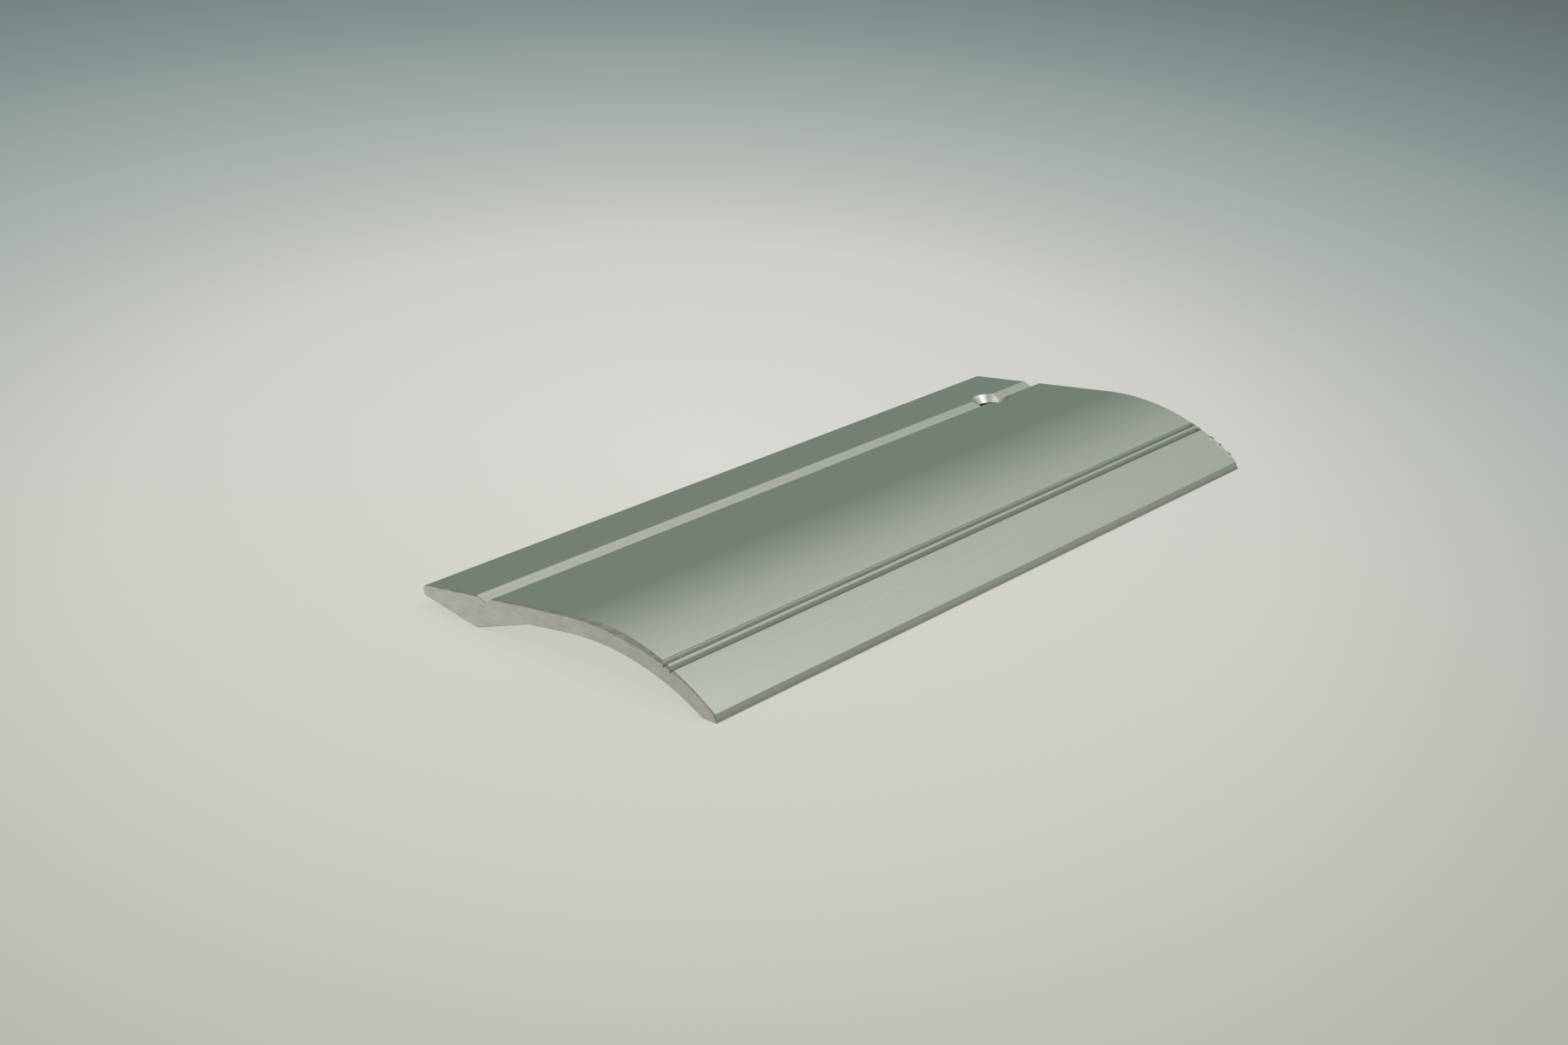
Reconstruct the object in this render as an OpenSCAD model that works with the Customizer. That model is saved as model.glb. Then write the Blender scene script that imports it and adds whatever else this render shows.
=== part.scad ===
// Floor transition strip: a short sawn sample of an extruded aluminium edging.
// It bridges two floors of unlike height: a thin nose lies on the higher floor,
// an arched leg runs down to the lower one, and a screw holds the strip down.
// Lengths are in mm. X runs along the strip, +Y points to the nose, +Z is up.
// The origin is on the floor, under the middle of the strip.

/* [Strip] */
// Length of the sawn sample
strip_length = 100; // [30:1:300]
// Width from the low edge to the tip of the nose
strip_width = 40; // [34:0.5:60]
// Height of the crown above the floor
crown_height = 5.6; // [4.8:0.1:9]
// Wall at the crown
wall = 2; // [1.4:0.1:2.8]

/* [Arched leg] */
// Distance of the crown from the low edge
crown_from_low_edge = 15.7; // [12:0.1:19]
// Height of the low edge's face
low_edge_height = 0.87; // [0.5:0.01:1.6]
// Lean of that face from upright in degrees
low_edge_lean = 20; // [0:1:40]
// Width of the flat under the low edge
low_edge_seat = 1.8; // [0.8:0.1:3]

/* [Nose] */
// Thickness of the full round tip
nose_thickness = 1.3; // [0.8:0.1:2]
// Gap between the floor and the tip
nose_lift = 1.2; // [0.4:0.1:2.2]

/* [Foot] */
// Distance of the foot from the tip of the nose
foot_from_nose = 7.8; // [6:0.1:10]
// Width of the flat that the foot stands on
foot_seat = 0.4; // [0.2:0.1:1.2]
// Slope of the foot's inner face in degrees
foot_slope = 20; // [16:1:40]

/* [Screw groove] */
// Distance of the groove from the tip of the nose
groove_from_nose = 8.9; // [7:0.1:11]
// Width of the groove
groove_width = 2.4; // [1.2:0.1:3.6]
// Depth of the groove
groove_depth = 0.62; // [0.3:0.02:1]

/* [Fine grooves] */
// Distance of the pair from the low edge
lines_from_low_edge = 6.45; // [4:0.05:10]
// Spacing of the two grooves
lines_pitch = 0.97; // [0.8:0.01:2]
// Width of each groove
line_width = 0.76; // [0.3:0.02:0.76]
// Depth of each groove
line_depth = 0.3; // [0.1:0.02:0.5]

/* [Screw hole] */
// Distance of the hole from the sawn end at +X
hole_from_end = 9.5; // [5:0.5:20]
// Diameter of the hole
hole_d = 3.2; // [2.4:0.1:4]
// Diameter of the countersink on the wing
countersink_d = 5; // [4.2:0.1:6.4]
// Angle of the countersink
countersink_angle = 90; // [60, 82, 90, 120]

/* [Hidden] */
$fn = 96;
// Length by which a cut runs past the face that it starts from
overcut = 1;
// Depth of a flat under the arc that it runs into, so that the two cross cleanly
sink = 0.0005;
// The outer arc passes through the crown and the top of the low edge
outer_rise = crown_height - low_edge_height;
outer_run = crown_from_low_edge - low_edge_height * tan(low_edge_lean);
outer_r = (pow(outer_run, 2) + pow(outer_rise, 2)) / (2 * outer_rise);
outer_centre = [crown_from_low_edge, crown_height - outer_r];
// The inner arc passes under the crown and meets the floor at the low edge's flat
inner_rise = crown_height - wall;
inner_run = crown_from_low_edge - low_edge_seat;
inner_r = (pow(inner_run, 2) + pow(inner_rise, 2)) / (2 * inner_rise);
inner_centre = [crown_from_low_edge, inner_rise - inner_r];
// The tip is a full round that touches the strip's width
tip_r = nose_thickness / 2;
tip_centre = [strip_width - tip_r, nose_lift + tip_r];
// The wing's top is the common tangent of the outer arc and the tip
tip_reach = tip_centre - outer_centre;
wing_slope = asin((outer_r - tip_r) / norm(tip_reach)) - atan2(tip_reach[1], tip_reach[0]);
wing_normal = [sin(wing_slope), cos(wing_slope)];
wing_start = outer_centre + (outer_r - sink) * wing_normal;
tip_top = tip_centre + (tip_r - sink) * wing_normal;
// The wing's underside leaves the inner arc at the same slope
under_start = inner_centre + (inner_r - sink) * wing_normal;
// The nose's underside runs from the foot's flat to touch the tip
foot_at = strip_width - foot_from_nose;
foot_outer = [foot_at + foot_seat / 2, 0];
foot_inner = [foot_at - foot_seat / 2, 0];
nose_reach = tip_centre - foot_outer;
nose_slope = atan2(nose_reach[1], nose_reach[0]) - asin(tip_r / norm(nose_reach));
tip_low = tip_centre + (tip_r - sink) * [sin(nose_slope), -cos(nose_slope)];
// The foot's inner face meets the wing's underside
under_fall = tan(wing_slope);
foot_rise = tan(foot_slope);
foot_top_at = (foot_inner[0] * foot_rise - under_start[1] - under_start[0] * under_fall)
    / (foot_rise - under_fall);
foot_top = [foot_top_at, (foot_inner[0] - foot_top_at) * foot_rise];
// The screw groove and the hole share one line on the wing's top
groove_at = strip_width - groove_from_nose;
groove_top = [groove_at, wing_start[1] - (groove_at - wing_start[0]) * under_fall];
hole_at = strip_length / 2 - hole_from_end;
countersink_depth = (countersink_d - hole_d) / 2 / tan(countersink_angle / 2);

// A vee that opens upwards, with its lips on the axis and its root below it
module vee(width, depth) {
    reach = 1 + overcut / depth;
    polygon([
        [0, -depth],
        [width / 2 * reach, overcut],
        [-width / 2 * reach, overcut]
    ]);
}

// Arched leg between the low edge and the start of the wing, still solid below
module leg_outline() {
    intersection() {
        translate(outer_centre) circle(r = outer_r, $fn = 180);
        polygon([
            [0, 0],
            [wing_start[0] + overcut, 0],
            [wing_start[0] + overcut, crown_height + overcut],
            [(crown_height + overcut) * tan(low_edge_lean), crown_height + overcut]
        ]);
    }
}

// Wing, nose and foot, still solid below
module wing_outline() {
    polygon([
        wing_start,
        [wing_start[0], 0],
        foot_inner,
        foot_outer,
        tip_low,
        tip_top
    ]);
    translate(tip_centre) circle(r = tip_r);
}

// Space under the arch, from the low edge's flat to the foot
module hollow_outline() {
    intersection() {
        translate(inner_centre) circle(r = inner_r, $fn = 180);
        translate([0, -overcut]) square([under_start[0] + overcut, crown_height]);
    }
    polygon([
        under_start,
        [under_start[0], -overcut],
        [foot_inner[0] + overcut / foot_rise, -overcut],
        foot_top
    ]);
}

// One fine groove, square to the arc at the given distance from the low edge
module fine_groove(from_low_edge) {
    lean = asin((crown_from_low_edge - from_low_edge) / outer_r);
    translate(outer_centre)
        rotate(lean)
            translate([0, outer_r])
                vee(line_width, line_depth);
}

// Cross-section, with the low edge at 0 and the floor at 0
module section() {
    difference() {
        union() {
            leg_outline();
            wing_outline();
        }
        hollow_outline();
        translate(groove_top)
            rotate(-wing_slope)
                vee(groove_width, groove_depth);
        fine_groove(lines_from_low_edge - lines_pitch / 2);
        fine_groove(lines_from_low_edge + lines_pitch / 2);
    }
}

// Countersunk hole, square to the wing and centred on the screw groove
module screw_hole() {
    translate([hole_at, groove_top[0] - strip_width / 2, groove_top[1]])
        rotate([-wing_slope, 0, 0]) {
            translate([0, 0, -crown_height - overcut])
                cylinder(d = hole_d, h = crown_height + 2 * overcut);
            translate([0, 0, -countersink_depth])
                cylinder(
                    d1 = hole_d,
                    d2 = countersink_d + 2 * overcut * tan(countersink_angle / 2),
                    h = countersink_depth + overcut
                );
        }
}

// The strip: one extruded length, sawn square at both ends and drilled once
module strip() {
    color([0.72, 0.75, 0.68])
        difference() {
            translate([0, -strip_width / 2, 0])
                rotate([90, 0, 90])
                    linear_extrude(height = strip_length, center = true)
                        section();
            screw_hole();
        }
}

strip();
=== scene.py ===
import math

import bpy
import numpy as np
from mathutils import Matrix, Vector


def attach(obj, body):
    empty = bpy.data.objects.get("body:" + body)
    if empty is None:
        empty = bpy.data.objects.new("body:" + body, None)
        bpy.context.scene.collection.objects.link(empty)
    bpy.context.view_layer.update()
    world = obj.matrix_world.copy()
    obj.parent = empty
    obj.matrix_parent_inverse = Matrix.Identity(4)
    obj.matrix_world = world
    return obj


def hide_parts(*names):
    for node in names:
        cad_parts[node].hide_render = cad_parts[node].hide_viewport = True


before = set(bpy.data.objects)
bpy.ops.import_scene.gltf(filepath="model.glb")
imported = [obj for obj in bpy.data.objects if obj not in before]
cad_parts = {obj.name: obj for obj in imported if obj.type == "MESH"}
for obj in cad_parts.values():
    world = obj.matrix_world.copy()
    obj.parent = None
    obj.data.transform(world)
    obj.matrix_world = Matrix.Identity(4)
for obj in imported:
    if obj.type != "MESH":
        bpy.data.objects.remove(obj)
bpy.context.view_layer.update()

# The strip: one length of extruded aluminium with a satin anodised skin.
# The press gives it its section and its die lines, a saw cuts both ends, a file
# breaks the near edge, and a drill and a countersink make the one screw hole.

# Sizes in mm, across from the low edge and up from the floor. They are the solid's,
# apart from the small rounds, the hairline and the fine grooves, which are deeper
# and narrower than the solid's vees.
MM = 0.001
LENGTH = 100.0
WIDTH = 40.0
CROWN_HEIGHT = 5.6
CROWN_AT = 15.7
WALL = 2.0
LOW_EDGE_HEIGHT = 0.87
LOW_EDGE_LEAN = math.radians(20)
LOW_EDGE_SEAT = 1.8
LOW_EDGE_ROUND = 0.22
LOW_CORNER_ROUND = 0.06
TIP_R = 0.65
NOSE_LIFT = 1.2
FOOT_AT = WIDTH - 7.8
FOOT_SEAT = 0.4
FOOT_SLOPE = math.radians(20)
GROOVE_AT = WIDTH - 8.9
GROOVE_WIDTH = 2.4
GROOVE_DEPTH = 0.62
GROOVE_EASE = 0.03
LINES_AT = 6.48
LINES_PITCH = 0.97
LINE_WIDTH = 0.70
LINE_DEPTH = 0.52
LINE_ROOT = 0.16
LINE_LIP_CURVE = 1.6
LINE_WALL_BOW = 1.25
HAIRLINE_WIDTH = 0.14
HAIRLINE_DEPTH = 0.065
HAIRLINE_EASE = 0.01

# The arcs and tangents of the section, worked out as in the solid.
OUTER_RISE = CROWN_HEIGHT - LOW_EDGE_HEIGHT
OUTER_RUN = CROWN_AT - LOW_EDGE_HEIGHT * math.tan(LOW_EDGE_LEAN)
OUTER_R = (OUTER_RUN**2 + OUTER_RISE**2) / (2 * OUTER_RISE)
OUTER_CENTRE = np.array([CROWN_AT, CROWN_HEIGHT - OUTER_R])
INNER_RISE = CROWN_HEIGHT - WALL
INNER_RUN = CROWN_AT - LOW_EDGE_SEAT
INNER_R = (INNER_RUN**2 + INNER_RISE**2) / (2 * INNER_RISE)
INNER_CENTRE = np.array([CROWN_AT, INNER_RISE - INNER_R])
TIP_CENTRE = np.array([WIDTH - TIP_R, NOSE_LIFT + TIP_R])
TIP_REACH = TIP_CENTRE - OUTER_CENTRE
WING_SLOPE = (math.asin((OUTER_R - TIP_R) / np.hypot(*TIP_REACH))
              - math.atan2(TIP_REACH[1], TIP_REACH[0]))
WING_NORMAL = np.array([math.sin(WING_SLOPE), math.cos(WING_SLOPE)])
WING_START = OUTER_CENTRE + OUTER_R * WING_NORMAL
TIP_TOP = TIP_CENTRE + TIP_R * WING_NORMAL
UNDER_START = INNER_CENTRE + INNER_R * WING_NORMAL
FOOT_OUTER = np.array([FOOT_AT + FOOT_SEAT / 2, 0.0])
FOOT_INNER = np.array([FOOT_AT - FOOT_SEAT / 2, 0.0])
NOSE_REACH = TIP_CENTRE - FOOT_OUTER
NOSE_SLOPE = (math.atan2(NOSE_REACH[1], NOSE_REACH[0])
              - math.asin(TIP_R / np.hypot(*NOSE_REACH)))
UNDER_FALL = math.tan(WING_SLOPE)
FOOT_RISE = math.tan(FOOT_SLOPE)
FOOT_TOP_AT = ((FOOT_INNER[0] * FOOT_RISE - UNDER_START[1] - UNDER_START[0] * UNDER_FALL)
               / (FOOT_RISE - UNDER_FALL))
FOOT_TOP = np.array([FOOT_TOP_AT, (FOOT_INNER[0] - FOOT_TOP_AT) * FOOT_RISE])
GROOVE_TOP_Z = WING_START[1] - (GROOVE_AT - WING_START[0]) * UNDER_FALL

# A face counts as upper skin when its normal rises by more than this share.
UPPER_SKIN_RISE = 0.2


def soft_vee(s, width, depth, ease):
    """Depth of a vee groove at distance s from its middle line.

    It is depth times (1 minus |s| over half the width), and never under zero.
    Root and lips are eased by taking sqrt(v*v + e*e) in place of |v|, where e is
    ease at the root and ease times depth at the lips.
    """
    fall = depth * (1 - np.sqrt(s * s + ease * ease) / (width / 2))
    return 0.5 * (fall + np.sqrt(fall * fall + (ease * depth) ** 2))


def fine_groove(s):
    """Depth of a fine groove at distance s up the arc from its lower lip.

    It rolls over a rounded lip down to its root: the root's depth times the share
    of the way to the root, to the power of the lip's curve. Then it climbs along a
    bowed wall: the root's depth times the share of the wall still to go, to the
    power of the wall's bow.
    """
    fall = np.clip(s / LINE_ROOT, 0, 1) ** LINE_LIP_CURVE
    climb = np.clip((LINE_WIDTH - s) / (LINE_WIDTH - LINE_ROOT), 0, 1) ** LINE_WALL_BOW
    return LINE_DEPTH * np.clip(np.minimum(fall, climb), 0, 1)


def arc(centre, r, lean_from, lean_to, count, facing=1):
    """Points and normals of an arc: centre plus r times (-sin lean, cos lean)."""
    lean = np.linspace(lean_from, lean_to, count)
    out = np.stack([-np.sin(lean), np.cos(lean)], axis=1)
    return centre + r * out, facing * out


def line(start, end, count, normal):
    """Points evenly spaced from start to end, all with one normal."""
    k = np.linspace(0, 1, count)[:, None]
    return start + k * (np.asarray(end) - start), np.repeat([normal], count, axis=0)


def strip_section():
    """The closed section as arrays: places, normals and groove depth.

    It starts at the foot of the low edge, climbs its leaned face, follows the
    arc and the wing to the nose, turns round the tip and comes back below.
    The edge's round touches face and arc: its centre lies its radius inside both.
    The two fine grooves, the hairline and the screw groove are set in along the
    normal, and the steps are fine for a short way to each side of them.
    """
    fine_steps_by_lines = 1.2
    fine_steps_by_groove = 1.7
    same_place = 1e-6
    least_depth = 1e-3
    r, c = LOW_EDGE_ROUND, LOW_CORNER_ROUND
    face_up = np.array([math.sin(LOW_EDGE_LEAN), math.cos(LOW_EDGE_LEAN)])
    face_out = np.array([-math.cos(LOW_EDGE_LEAN), math.sin(LOW_EDGE_LEAN)])
    reach = -r * face_out - OUTER_CENTRE
    climb = math.sqrt((reach @ face_up) ** 2 - reach @ reach + (OUTER_R - r) ** 2)
    round_centre = -r * face_out + (climb - reach @ face_up) * face_up
    from_centre = round_centre - OUTER_CENTRE
    lean_low = math.atan2(-from_centre[0], from_centre[1])
    lean_face = math.pi / 2 - LOW_EDGE_LEAN
    corner = c * np.array([(1 + math.sin(LOW_EDGE_LEAN)) / math.cos(LOW_EDGE_LEAN), 1.0])
    lean_pair = math.asin((CROWN_AT - LINES_AT) / OUTER_R)
    near_pair = fine_steps_by_lines / OUTER_R
    runs = [
        arc(corner, c, math.pi, lean_face, 6),
        line(corner + c * face_out, round_centre + r * face_out, 5, face_out),
        arc(round_centre, r, lean_face, lean_low, 12),
        arc(OUTER_CENTRE, OUTER_R, lean_low, lean_pair + near_pair, 36),
        arc(OUTER_CENTRE, OUTER_R, lean_pair + near_pair, lean_pair - near_pair, 141),
        arc(OUTER_CENTRE, OUTER_R, lean_pair - near_pair, -WING_SLOPE, 90),
    ]
    along = np.array([math.cos(WING_SLOPE), -math.sin(WING_SLOPE)])
    mid = np.array([GROOVE_AT, GROOVE_TOP_Z])
    before_groove = mid - fine_steps_by_groove * along
    after_groove = mid + fine_steps_by_groove * along
    runs += [
        line(WING_START, before_groove, 16, WING_NORMAL),
        line(before_groove, after_groove, 121, WING_NORMAL),
        line(after_groove, TIP_TOP, 12, WING_NORMAL),
        arc(TIP_CENTRE, TIP_R, -WING_SLOPE, -(math.pi - NOSE_SLOPE), 28),
    ]
    nose_normal = np.array([math.sin(NOSE_SLOPE), -math.cos(NOSE_SLOPE)])
    foot_normal = np.array([-math.sin(FOOT_SLOPE), -math.cos(FOOT_SLOPE)])
    lean_seat = math.asin(INNER_RUN / INNER_R)
    runs += [
        line(TIP_CENTRE + TIP_R * nose_normal, FOOT_OUTER, 12, nose_normal),
        line(FOOT_OUTER, FOOT_INNER, 3, (0.0, -1.0)),
        line(FOOT_INNER, FOOT_TOP, 12, foot_normal),
        line(FOOT_TOP, UNDER_START, 10, -WING_NORMAL),
        arc(INNER_CENTRE, INNER_R, -WING_SLOPE, lean_seat, 72, facing=-1),
        line([LOW_EDGE_SEAT, 0.0], [corner[0], 0.0], 5, (0.0, -1.0)),
    ]
    places = np.concatenate([run[0] for run in runs])
    normals = np.concatenate([run[1] for run in runs])
    kept = np.linalg.norm(places - np.roll(places, 1, axis=0), axis=1) > same_place
    places, normals = places[kept], normals[kept]
    faces_up = normals[:, 1] > UPPER_SKIN_RISE
    lean = np.arctan2(CROWN_AT - places[:, 0], places[:, 1] - OUTER_CENTRE[1])
    climbed = OUTER_R * (lean_pair - lean)
    depth = np.zeros(len(places))
    for groove_mid in (-LINES_PITCH / 2, LINES_PITCH / 2):
        depth += fine_groove(climbed - groove_mid + LINE_WIDTH / 2)
    hairline_at = (LINES_PITCH + LINE_WIDTH) / 2 - HAIRLINE_WIDTH / 2
    depth += soft_vee(climbed - hairline_at, HAIRLINE_WIDTH, HAIRLINE_DEPTH, HAIRLINE_EASE)
    depth += soft_vee((places - mid) @ along, GROOVE_WIDTH, GROOVE_DEPTH, GROOVE_EASE)
    depth = np.where(faces_up & (depth > least_depth), depth, 0.0)
    return places - depth[:, None] * normals, normals, depth


# How far the file and the saw took the edge off at each end, across the strip.
# The near edge is filed, most of all about the crown. The far one has a broken low
# corner and keeps its burrs: three by the low edge, and swarf in the fine grooves.
# Close to the floor both fade out, so that nothing reaches below it.
EDGE_BREAK = 0.05
LEAST_FILED = 0.04
FILED_AT = [0, 2, 5, 8, 11, 13.6, 14.2, 17, 21, 26, 32, 40]
FILED_BY = [0.08, 0.09, 0.12, 0.34, 0.43, 0.48, 0.40, 0.36, 0.22, 0.17, 0.12, 0.08]
RAGGED_BY = 0.025
RAGGED_STEPS = 101
FADE_FROM = 0.1
FADE_OVER = 0.4
FAR_CORNER_BREAK = 0.3
FAR_CORNER_REACH = 0.7
BURR_AT = np.array([1.5, 2.9, 4.1])
BURR_WIDTH = 0.17
BURR_HEIGHT = 0.17
LEAST_BURR = 0.03
SWARF_FILL = 1.05
LINES_WITHIN = 9
rng = np.random.default_rng(11)
places, normals, depth = strip_section()
across = places[:, 0]
faces_up = normals[:, 1] > UPPER_SKIN_RISE
ragged = np.interp(across, np.linspace(0, WIDTH, RAGGED_STEPS),
                   rng.normal(0, RAGGED_BY, RAGGED_STEPS))
filed = np.interp(across, FILED_AT, FILED_BY)
off_floor = np.clip((places[:, 1] - FADE_FROM) / FADE_OVER, 0, 1)
filed_more = np.maximum(filed + ragged, LEAST_FILED) - EDGE_BREAK
near_break = EDGE_BREAK + np.where(faces_up, filed_more, 0.0) * off_floor
far_corner = FAR_CORNER_BREAK * np.exp(-(across / FAR_CORNER_REACH) ** 2)
far_break = EDGE_BREAK + far_corner * off_floor * faces_up
burr = np.exp(-((across[:, None] - BURR_AT) / BURR_WIDTH) ** 2).sum(axis=1) * BURR_HEIGHT
burr += np.where(across < LINES_WITHIN, depth * SWARF_FILL, 0.0)
burr = np.where(faces_up, burr, 0.0)

# Painted shade in the roots of the fine grooves and along the foot of the low edge,
# as a share of the skin that it darkens.
ROOT_SHADE_FROM = 0.35
ROOT_SHADE_OVER = 0.4
FOOT_SHADE = 0.8
FOOT_SHADE_REACH = 0.35
root_share = np.where(across < LINES_WITHIN, depth / LINE_DEPTH, 0.0)
painted_shade = np.clip((root_share - ROOT_SHADE_FROM) / ROOT_SHADE_OVER, 0, 1)
on_low_edge = normals[:, 0] < -0.5
painted_foot_shade = FOOT_SHADE * np.exp(-(places[:, 1] / FOOT_SHADE_REACH) ** 2)
painted_shade += np.where(on_low_edge, painted_foot_shade, 0.0)


def swept_strip():
    """Grid of places: the section carried along X from end to end.

    At each end a place moves in along its normal by the broken edge's depth,
    less what its groove already lacks, and at the far end out by the burr.
    """
    middle = np.array([-47.0, -30.0, -10.0, 10.0, 30.0, 37.0, 44.0, 48.0, 49.3])
    behind_filed_edge = 0.05
    before_far_break = (0.23, 0.1, 0.0)
    burr_foot = 0.8
    end = LENGTH / 2
    stations = [np.full(len(across), -end), -end + near_break,
                -end + near_break + behind_filed_edge]
    stations += [np.full(len(across), x) for x in middle]
    stations += [end - far_break - back for back in before_far_break]
    stations += [np.full(len(across), end)]
    inset = np.zeros((len(stations), len(across)))
    inset[0] = np.maximum(near_break - depth, 0)
    inset[-3] = -burr_foot * burr
    inset[-2] = -burr
    inset[-1] = np.where(burr > LEAST_BURR, -burr, np.maximum(far_break - depth, 0))
    yz = places[None] - inset[..., None] * normals[None]
    grid = np.concatenate([np.stack(stations)[..., None], yz], axis=2)
    grid[..., 1] -= WIDTH / 2
    return grid * MM


def grid_faces(rows, cols):
    """Quads of a grid whose columns close into a ring."""
    i, j = np.meshgrid(np.arange(rows - 1), np.arange(cols), indexing="ij")
    k = (j + 1) % cols
    quads = np.stack([i * cols + j, i * cols + k, (i + 1) * cols + k, (i + 1) * cols + j],
                     axis=-1)
    return quads.reshape(-1, 4)


# The sweep as a mesh: a filed first row, sawn ends, and burrs in the last three rows.
SKIN, SAWN, DRILLED, FILED = 0, 1, 2, 3
BURR_ROWS = 3
grid = swept_strip()
rows, cols = grid.shape[:2]
quads = grid_faces(rows, cols)
end_near = np.arange(cols)[::-1].tolist()
end_far = np.arange((rows - 1) * cols, rows * cols).tolist()
strip_mesh = bpy.data.meshes.new("strip")
strip_mesh.from_pydata(grid.reshape(-1, 3), [], quads.tolist() + [end_near, end_far])
finish_index = np.full(len(quads) + 2, SKIN)
finish_index[:cols] = FILED
finish_index[(rows - 2) * cols:] = SAWN
by_row = finish_index[:-2].reshape(rows - 1, cols)
by_row[-BURR_ROWS:, burr > LEAST_BURR] = FILED
strip_mesh.polygons.foreach_set("material_index", finish_index.astype(np.int32))
# The painted shade of the groove roots and the low edge's foot, kept on the points of every
# row.
painted_shade_layer = strip_mesh.attributes.new("painted_shade", "FLOAT", "POINT")
painted_shade_layer.data.foreach_set("value", np.tile(painted_shade, rows).astype(np.float32))
strip = bpy.data.objects.new("aluminium_strip", strip_mesh)
bpy.context.collection.objects.link(strip)

# The screw hole: a drill and a countersink, square to the wing on the screw groove.
HOLE_X = LENGTH / 2 - 9.5
HOLE_R = 1.6
COUNTERSINK_R = 2.5
HOLE_AXIS = np.array([0.0, WING_NORMAL[0], WING_NORMAL[1]])
HOLE_MOUTH = np.array([HOLE_X, GROOVE_AT - WIDTH / 2, GROOVE_TOP_Z])
COUNTERSINK_FOOT = HOLE_R - COUNTERSINK_R
DRILL_TURNS = 128


def drill_form(turns):
    """Solid of revolution of drill and countersink about the hole's axis.

    Radius is the bore's up to the countersink's foot and then grows as fast as
    the height, so that it is the countersink's at the wing's top. The form is
    turned half a step, so that none of its edges lies on the groove's root.
    """
    below, above, hub = -7.0, 1.0, 0.001
    height = np.array([below, below, COUNTERSINK_FOOT, above, above])
    radius = np.array([hub, HOLE_R, HOLE_R, COUNTERSINK_R + above, hub])
    turn = (np.arange(turns) + 0.5) * 2 * np.pi / turns
    side = np.array([1.0, 0.0, 0.0])
    ahead = np.cross(HOLE_AXIS, side)
    ring = np.cos(turn)[:, None] * side + np.sin(turn)[:, None] * ahead
    form = HOLE_MOUTH + radius[:, None, None] * ring + height[:, None, None] * HOLE_AXIS
    return form * MM


form = drill_form(DRILL_TURNS)
rings, turns = form.shape[:2]
drill_mesh = bpy.data.meshes.new("drill")
drill_quads = grid_faces(rings, turns)
drill_caps = [np.arange(turns)[::-1].tolist(),
              np.arange((rings - 1) * turns, rings * turns).tolist()]
drill_mesh.from_pydata(form.reshape(-1, 3), [], drill_quads.tolist() + drill_caps)
drill_mesh.polygons.foreach_set(
    "material_index", np.full(len(drill_quads) + 2, DRILLED, dtype=np.int32))
drill = bpy.data.objects.new("drill", drill_mesh)
bpy.context.collection.objects.link(drill)


def plug(tree, socket, value):
    """Links another socket to this input, or sets the input to a constant."""
    if isinstance(value, bpy.types.NodeSocket):
        tree.links.new(value, socket)
    else:
        socket.default_value = value


def node(tree, kind, **sockets):
    """A shader node of that kind, with its inputs linked or set by name.

    An input that has no name of its own is given by its number, as in _0.
    """
    made = tree.nodes.new(kind)
    for name, value in sockets.items():
        plug(tree, made.inputs[int(name[1:])] if name[0] == "_" else made.inputs[name], value)
    return made


def maths(tree, operation, *values):
    """The result of a Math node on values or sockets."""
    made = tree.nodes.new("ShaderNodeMath")
    made.operation = operation
    for socket, value in zip(made.inputs, values):
        plug(tree, socket, value)
    return made.outputs[0]


def own_place(tree):
    """The piece's own coordinates in metres."""
    return node(tree, "ShaderNodeTexCoord").outputs["Object"]


def own_y(tree):
    """The distance across the piece in metres, from its own middle."""
    return node(tree, "ShaderNodeSeparateXYZ", Vector=own_place(tree)).outputs["Y"]


def streaks(tree, scale, detail=3.0, turn=(0.0, 0.0, 0.0)):
    """Noise stretched on the piece's own coordinates, in periods per metre."""
    stretched = node(tree, "ShaderNodeMapping", Vector=own_place(tree), Scale=scale,
                     Rotation=turn)
    return node(tree, "ShaderNodeTexNoise", Vector=stretched.outputs[0], Scale=1.0,
                Detail=detail, Roughness=0.6).outputs["Fac"]


def spread(tree, value, low, high, from_low=0.3, from_high=0.7):
    """A noise value spread between low and high."""
    made = node(tree, "ShaderNodeMapRange", Value=value)
    made.inputs["From Min"].default_value = from_low
    made.inputs["From Max"].default_value = from_high
    made.inputs["To Min"].default_value = low
    made.inputs["To Max"].default_value = high
    return made.outputs[0]


def tinted(tree, value, dark, light):
    """A colour between dark and light by a value from 0 to 1."""
    made = tree.nodes.new("ShaderNodeMix")
    made.data_type = "RGBA"
    tree.links.new(value, made.inputs["Factor"])
    made.inputs[6].default_value = (*dark, 1.0)
    made.inputs[7].default_value = (*light, 1.0)
    return made.outputs[2]


def covered(tree, share, under, over):
    """A colour with another one over it by a share from 0 to 1."""
    made = tree.nodes.new("ShaderNodeMix")
    made.data_type = "RGBA"
    tree.links.new(share, made.inputs["Factor"])
    tree.links.new(under, made.inputs[6])
    made.inputs[7].default_value = (*over, 1.0)
    return made.outputs[2]


def metal(name):
    """An empty metal finish: the material, its node tree and its shader."""
    material = bpy.data.materials.new(name)
    material.use_nodes = True
    shader = material.node_tree.nodes["Principled BSDF"]
    shader.inputs["Metallic"].default_value = 1.0
    return material, material.node_tree, shader


def finish_metal(tree, shader, colour, roughness, height, strength, distance):
    """Gives a metal its colour, its roughness and a relief, distance deep in metres."""
    tree.links.new(colour, shader.inputs["Base Color"])
    tree.links.new(roughness, shader.inputs["Roughness"])
    relief = node(tree, "ShaderNodeBump", Height=height, Strength=strength,
                  Distance=distance)
    tree.links.new(relief.outputs[0], shader.inputs["Normal"])


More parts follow.
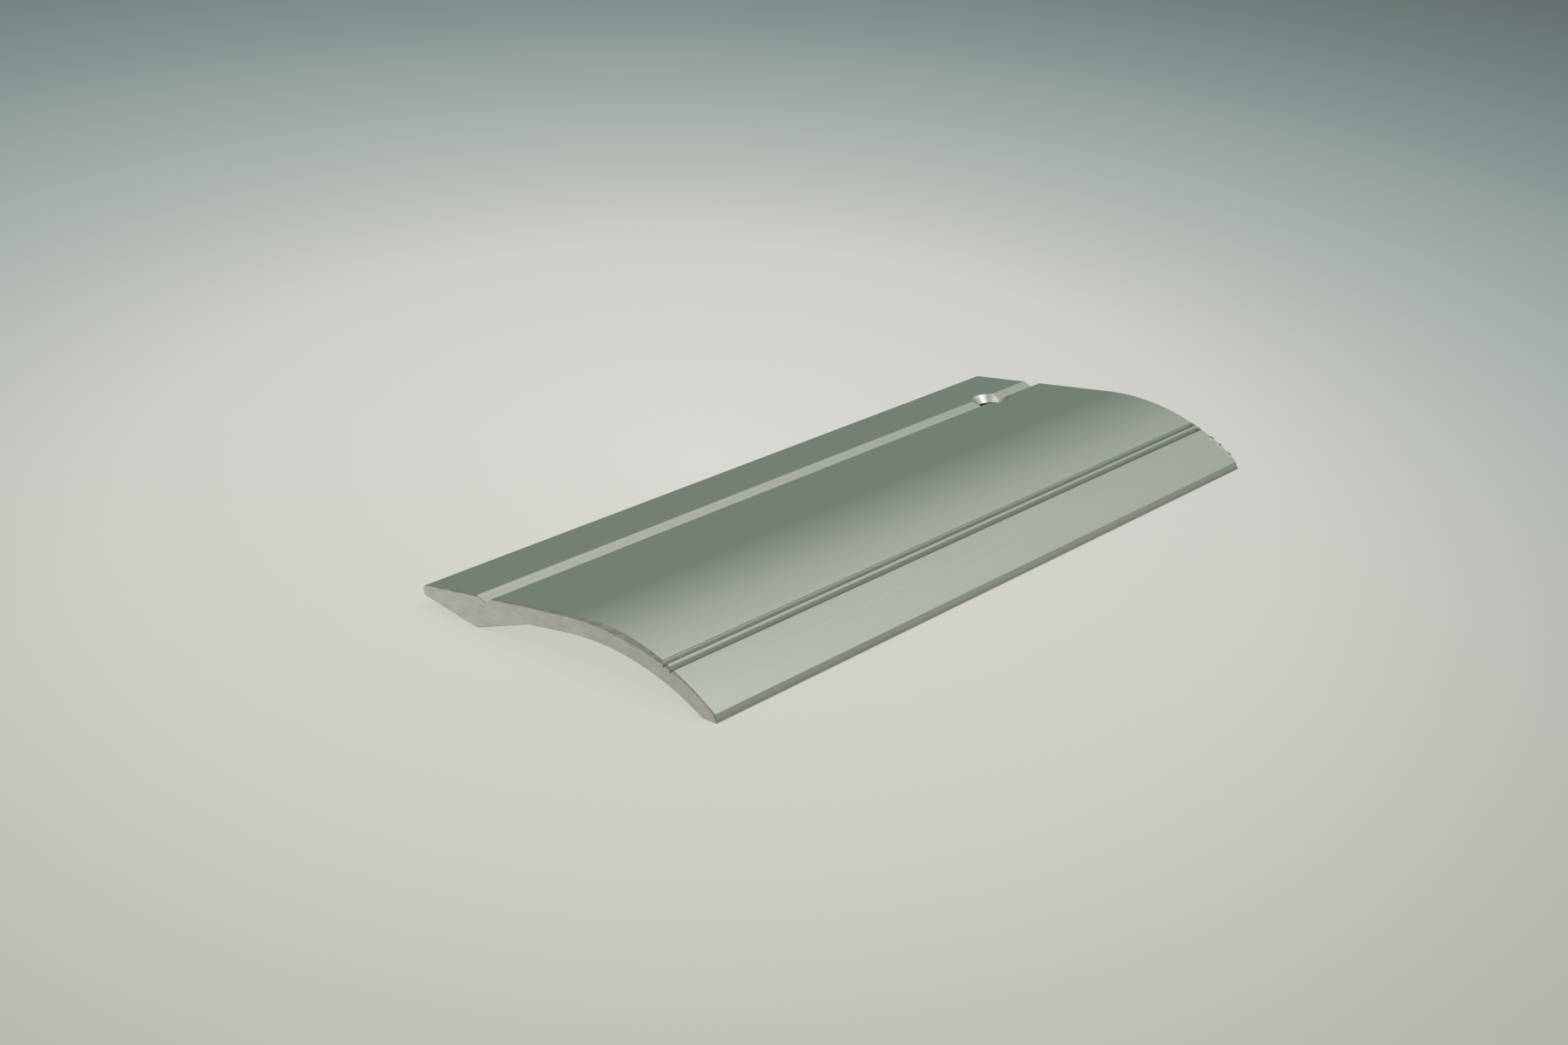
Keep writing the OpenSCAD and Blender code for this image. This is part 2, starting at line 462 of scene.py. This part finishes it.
# Satin anodised skin: fine die lines along the strip, seen in colour, gloss and
# relief, a slow unevenness, and two hairlines that the die left in the screw groove.
GROOVE_HAIRLINES_Y = (0.01160, 0.01178)
HAIRLINE_CORE = 0.00001
HAIRLINE_RIM = 0.00006
HAIRLINE_DARKNESS = 3.0
anodised, tree, shader = metal("satin_anodised_skin")
fine = streaks(tree, (14.0, 9000.0, 9000.0))
broad = streaks(tree, (9.0, 900.0, 900.0), detail=2.0)
cloud = streaks(tree, (40.0, 60.0, 60.0), detail=2.0)
across_y = own_y(tree)
off_hairlines = [maths(tree, "ABSOLUTE", maths(tree, "SUBTRACT", across_y, at))
                 for at in GROOVE_HAIRLINES_Y]
hairline = spread(tree, maths(tree, "MINIMUM", *off_hairlines), 1.0, 0.0,
                  HAIRLINE_CORE, HAIRLINE_RIM)
tone = maths(tree, "ADD", maths(tree, "MULTIPLY", fine, 0.5),
             maths(tree, "ADD", maths(tree, "MULTIPLY", broad, 0.3),
                   maths(tree, "MULTIPLY", cloud, 0.2)))
tone = maths(tree, "SUBTRACT", spread(tree, tone, 0.0, 1.0),
             maths(tree, "MULTIPLY", hairline, HAIRLINE_DARKNESS))
# Painted shade: by the stored share, the skin is covered with a dark brownish grey in the
# groove roots and at the low edge's foot.
painted_shade_share = node(tree, "ShaderNodeAttribute")
painted_shade_share.attribute_name = "painted_shade"
skin = tinted(tree, tone, (0.69, 0.72, 0.65), (0.75, 0.78, 0.71))
finish_metal(tree, shader,
             covered(tree, painted_shade_share.outputs["Fac"], skin, (0.28, 0.265, 0.215)),
             spread(tree, tone, 0.34, 0.28, 0.0, 1.0),
             height=fine, strength=0.05, distance=0.00002)

# Sawn ends: bare metal, dull, with the saw's fine lines across the wall, and
# painted light that makes them lighter towards the nose.
sawn, tree, shader = metal("sawn_end")
saw_lines = streaks(tree, (9000.0, 500.0, 7000.0), turn=(0.12, 0.0, 0.0))
patches = streaks(tree, (700.0, 700.0, 700.0))
mixed = maths(tree, "ADD", maths(tree, "MULTIPLY", saw_lines, 0.6),
              maths(tree, "MULTIPLY", patches, 0.4))
# Painted light: the end face's colour grows lighter towards the nose.
painted_light_toward_nose = spread(tree, own_y(tree), -0.15, 0.35, -0.012, 0.016)
tone = maths(tree, "ADD", spread(tree, mixed, 0.0, 0.8), painted_light_toward_nose)
finish_metal(tree, shader,
             tinted(tree, tone, (0.56, 0.56, 0.515), (0.76, 0.76, 0.71)),
             spread(tree, mixed, 0.50, 0.40),
             height=saw_lines, strength=0.25, distance=0.00003)

# Filed edge and burrs: scratched bare metal, dull and grimy.
filed_metal, tree, shader = metal("filed_edge")
scratches = streaks(tree, (5000.0, 900.0, 5000.0), turn=(0.0, 0.0, 0.5))
finish_metal(tree, shader,
             tinted(tree, spread(tree, scratches, 0.0, 1.0),
                    (0.32, 0.33, 0.275), (0.46, 0.47, 0.41)),
             spread(tree, scratches, 0.60, 0.48),
             height=scratches, strength=0.3, distance=0.00003)

# Drilled and countersunk wall: bare metal, turned in fine rings, with painted shade in the
# bore.
BORE_SHADE_FADE = 0.05
drilled, tree, shader = metal("bright_countersink")
centred = node(tree, "ShaderNodeVectorMath", _0=own_place(tree))
centred.operation = "SUBTRACT"
centred.inputs[1].default_value = HOLE_MOUTH * MM
apart = node(tree, "ShaderNodeVectorMath", _0=centred.outputs[0])
apart.operation = "LENGTH"
ring_noise = node(tree, "ShaderNodeTexNoise", Scale=16000.0, Detail=2.0)
ring_noise.noise_dimensions = "1D"
tree.links.new(apart.outputs["Value"], ring_noise.inputs["W"])
turned_rings = ring_noise.outputs["Fac"]
along_axis = node(tree, "ShaderNodeVectorMath", _0=centred.outputs[0])
along_axis.operation = "DOT_PRODUCT"
along_axis.inputs[1].default_value = HOLE_AXIS
# Painted shade: the bore below the countersink's foot is coloured dark grey, fading in over a
# short way.
painted_bore_shade = spread(tree, along_axis.outputs["Value"], 1.0, 0.0,
                 (COUNTERSINK_FOOT - BORE_SHADE_FADE) * MM, COUNTERSINK_FOOT * MM)
turned_face = tinted(tree, turned_rings, (0.64, 0.65, 0.63), (0.73, 0.74, 0.72))
finish_metal(tree, shader,
             covered(tree, painted_bore_shade, turned_face, (0.34, 0.35, 0.33)),
             spread(tree, turned_rings, 0.34, 0.28),
             height=turned_rings, strength=0.12, distance=0.00002)

# In the order of SKIN, SAWN, DRILLED and FILED.
for piece in (strip, drill):
    for material in (anodised, sawn, drilled, filed_metal):
        piece.data.materials.append(material)

# The drill is taken out of the sweep once, and the result is the strip's mesh.
SHARP_FROM = math.radians(32)
cut = strip.modifiers.new("screw_hole", "BOOLEAN")
cut.operation = "DIFFERENCE"
cut.solver = "EXACT"
cut.object = drill
bored = bpy.data.meshes.new_from_object(
    strip.evaluated_get(bpy.context.evaluated_depsgraph_get()))
strip.modifiers.clear()
strip.data = bored
bpy.data.objects.remove(drill)
bored.shade_smooth()
bored.set_sharp_from_angle(angle=SHARP_FROM)

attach(strip, "root")
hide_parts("strip")

# The floor: a pale table top with a painted pool of light on it, warm by the strip and
# cooler and darker far off. Seen directly or mirrored, it shows mostly its own colour
# whatever light falls on it, which leaves the shadow as weak as the photograph's.
HALF_SIDE = 2.5
OWN_COLOUR_SHARE = 0.7
table_mesh = bpy.data.meshes.new("table")
table_mesh.from_pydata([(-HALF_SIDE, -HALF_SIDE, 0), (HALF_SIDE, -HALF_SIDE, 0),
                        (HALF_SIDE, HALF_SIDE, 0), (-HALF_SIDE, HALF_SIDE, 0)],
                       [], [(0, 1, 2, 3)])
table = bpy.data.objects.new("table", table_mesh)
bpy.context.collection.objects.link(table)


def colour_ramp(tree, value, stops):
    """A colour by a value from 0 to 1, through stops of place and colour."""
    made = node(tree, "ShaderNodeValToRGB", Fac=value)
    elements = made.color_ramp.elements
    first, *between, last = stops
    for element, (at, colour) in ((elements[0], first), (elements[1], last)):
        element.position = at
        element.color = (*colour, 1.0)
    for at, colour in between:
        elements.new(at).color = (*colour, 1.0)
    return made.outputs[0]


pale = bpy.data.materials.new("pale_table")
pale.use_nodes = True
tree = pale.node_tree
shader = tree.nodes["Principled BSDF"]
shader.inputs["Roughness"].default_value = 0.9
shader.inputs["Specular IOR Level"].default_value = 0.1
turned = node(tree, "ShaderNodeMapping", Vector=own_place(tree))
turned.vector_type = "TEXTURE"
turned.inputs["Location"].default_value = (0.004, 0.028, 0.0)
turned.inputs["Rotation"].default_value = (0.0, 0.0, math.radians(37.565))
turned.inputs["Scale"].default_value = (0.471, 0.320, 1.0)
pool = node(tree, "ShaderNodeTexGradient", Vector=turned.outputs[0])
pool.gradient_type = "SPHERICAL"
# Painted light: a pool of light in the table's colour, bright by the strip and dark and
# greenish far off.
painted_light_pool = colour_ramp(tree, pool.outputs["Fac"], (
    (0.0, (0.14, 0.18, 0.18)),
    (0.242, (0.205, 0.262, 0.260)),
    (0.394, (0.275, 0.342, 0.340)),
    (0.545, (0.385, 0.450, 0.442)),
    (0.667, (0.525, 0.552, 0.525)),
    (0.788, (0.700, 0.705, 0.668)),
    (1.0, (0.80, 0.79, 0.76)),
))
ahead_of = node(tree, "ShaderNodeSeparateXYZ", Vector=turned.outputs[0]).outputs["X"]
# Painted light: a warm tint in the table's colour towards the strip.
painted_warm_light = colour_ramp(tree, spread(tree, ahead_of, 0.0, 1.0, -0.27, 0.02), (
    (0.0, (1.0, 0.965, 0.915)),
    (1.0, (1.0, 1.0, 1.0)),
))
table_tone_with_painted_light = node(tree, "ShaderNodeMix")
table_tone_with_painted_light.data_type = "RGBA"
table_tone_with_painted_light.blend_type = "MULTIPLY"
table_tone_with_painted_light.inputs["Factor"].default_value = 1.0
tree.links.new(painted_light_pool, table_tone_with_painted_light.inputs[6])
tree.links.new(painted_warm_light, table_tone_with_painted_light.inputs[7])
tree.links.new(table_tone_with_painted_light.outputs[2], shader.inputs["Base Color"])
rays = node(tree, "ShaderNodeLightPath").outputs
seen = maths(tree, "MAXIMUM", rays["Is Camera Ray"],
             maths(tree, "MAXIMUM", rays["Is Glossy Ray"], rays["Is Transmission Ray"]))
glow = node(tree, "ShaderNodeEmission", Color=table_tone_with_painted_light.outputs[2], Strength=1.0)
shown = node(tree, "ShaderNodeMixShader", Fac=maths(tree, "MULTIPLY", seen, OWN_COLOUR_SHARE),
             _1=shader.outputs[0], _2=glow.outputs[0])
tree.links.new(shown.outputs[0], tree.nodes["Material Output"].inputs["Surface"])
table_mesh.materials.append(pale)

# The light: a soft dome, dim and greenish at the horizon and brighter above, a
# white softbox at the front right and a wide dim one at the back left.
world = bpy.data.worlds.new("soft_dome")
world.use_nodes = True
bpy.context.scene.world = world
tree = world.node_tree
sky = tree.nodes["Background"]
direction = node(tree, "ShaderNodeTexCoord").outputs["Generated"]
lift = node(tree, "ShaderNodeVectorMath", _0=direction)
lift.operation = "DOT_PRODUCT"
lift.inputs[1].default_value = (0.05, -0.08, 0.995)
dome = colour_ramp(tree, lift.outputs["Value"], (
    (0.0, (0.085, 0.105, 0.095)),
    (0.16, (0.172, 0.218, 0.188)),
    (0.32, (0.228, 0.275, 0.247)),
    (0.44, (0.305, 0.350, 0.308)),
    (0.53, (0.390, 0.435, 0.385)),
    (0.60, (0.470, 0.505, 0.452)),
    (0.66, (0.625, 0.655, 0.592)),
    (0.73, (0.632, 0.654, 0.598)),
    (0.87, (0.60, 0.62, 0.58)),
    (1.0, (0.36, 0.37, 0.35)),
))
tree.links.new(dome, sky.inputs["Color"])
sky.inputs["Strength"].default_value = 1.0


def softbox(name, toward, across_m, watts, colour):
    """A round area lamp about a metre off in that direction, facing the strip."""
    lamp_data = bpy.data.lights.new(name, "AREA")
    lamp_data.shape = "DISK"
    lamp_data.size = across_m
    lamp_data.energy = watts
    lamp_data.color = colour
    lamp = bpy.data.objects.new(name, lamp_data)
    lamp.location = toward
    lamp.rotation_euler = Vector(toward).to_track_quat("Z", "Y").to_euler()
    bpy.context.collection.objects.link(lamp)


softbox("front_softbox", (0.30, -0.30, 0.90), 0.5, 0.8, (1.0, 1.0, 0.98))
softbox("back_softbox", (-0.37, 0.44, 0.82), 0.9, 0.75, (0.90, 1.0, 0.96))

# The camera: where the photograph was taken from, level to about three degrees.
# Its focal length is known in pixels of the photograph, which is 1800 wide.
SENSOR_WIDTH = 36.0
FOCAL_PIXELS = 2949.30
PHOTO_PIXELS = 1800
camera_data = bpy.data.cameras.new("camera")
camera_data.sensor_width = SENSOR_WIDTH
camera_data.lens = FOCAL_PIXELS / PHOTO_PIXELS * SENSOR_WIDTH
camera_data.clip_start = 0.01
camera = bpy.data.objects.new("camera", camera_data)
bpy.context.collection.objects.link(camera)
right = np.array([0.626349, -0.778128, 0.046942])
down = np.array([-0.258262, -0.263950, -0.929318])
ahead = np.array([0.735518, 0.569954, -0.366286])
stand = np.array([-0.2207637, -0.1591779, 0.1076448])
pose = np.eye(4)
pose[:3, :3] = np.stack([right, -down, -ahead], axis=1)
pose[:3, 3] = stand
camera.matrix_world = Matrix(pose.tolist())
bpy.context.scene.camera = camera

bpy.context.scene.view_settings.view_transform = "Standard"
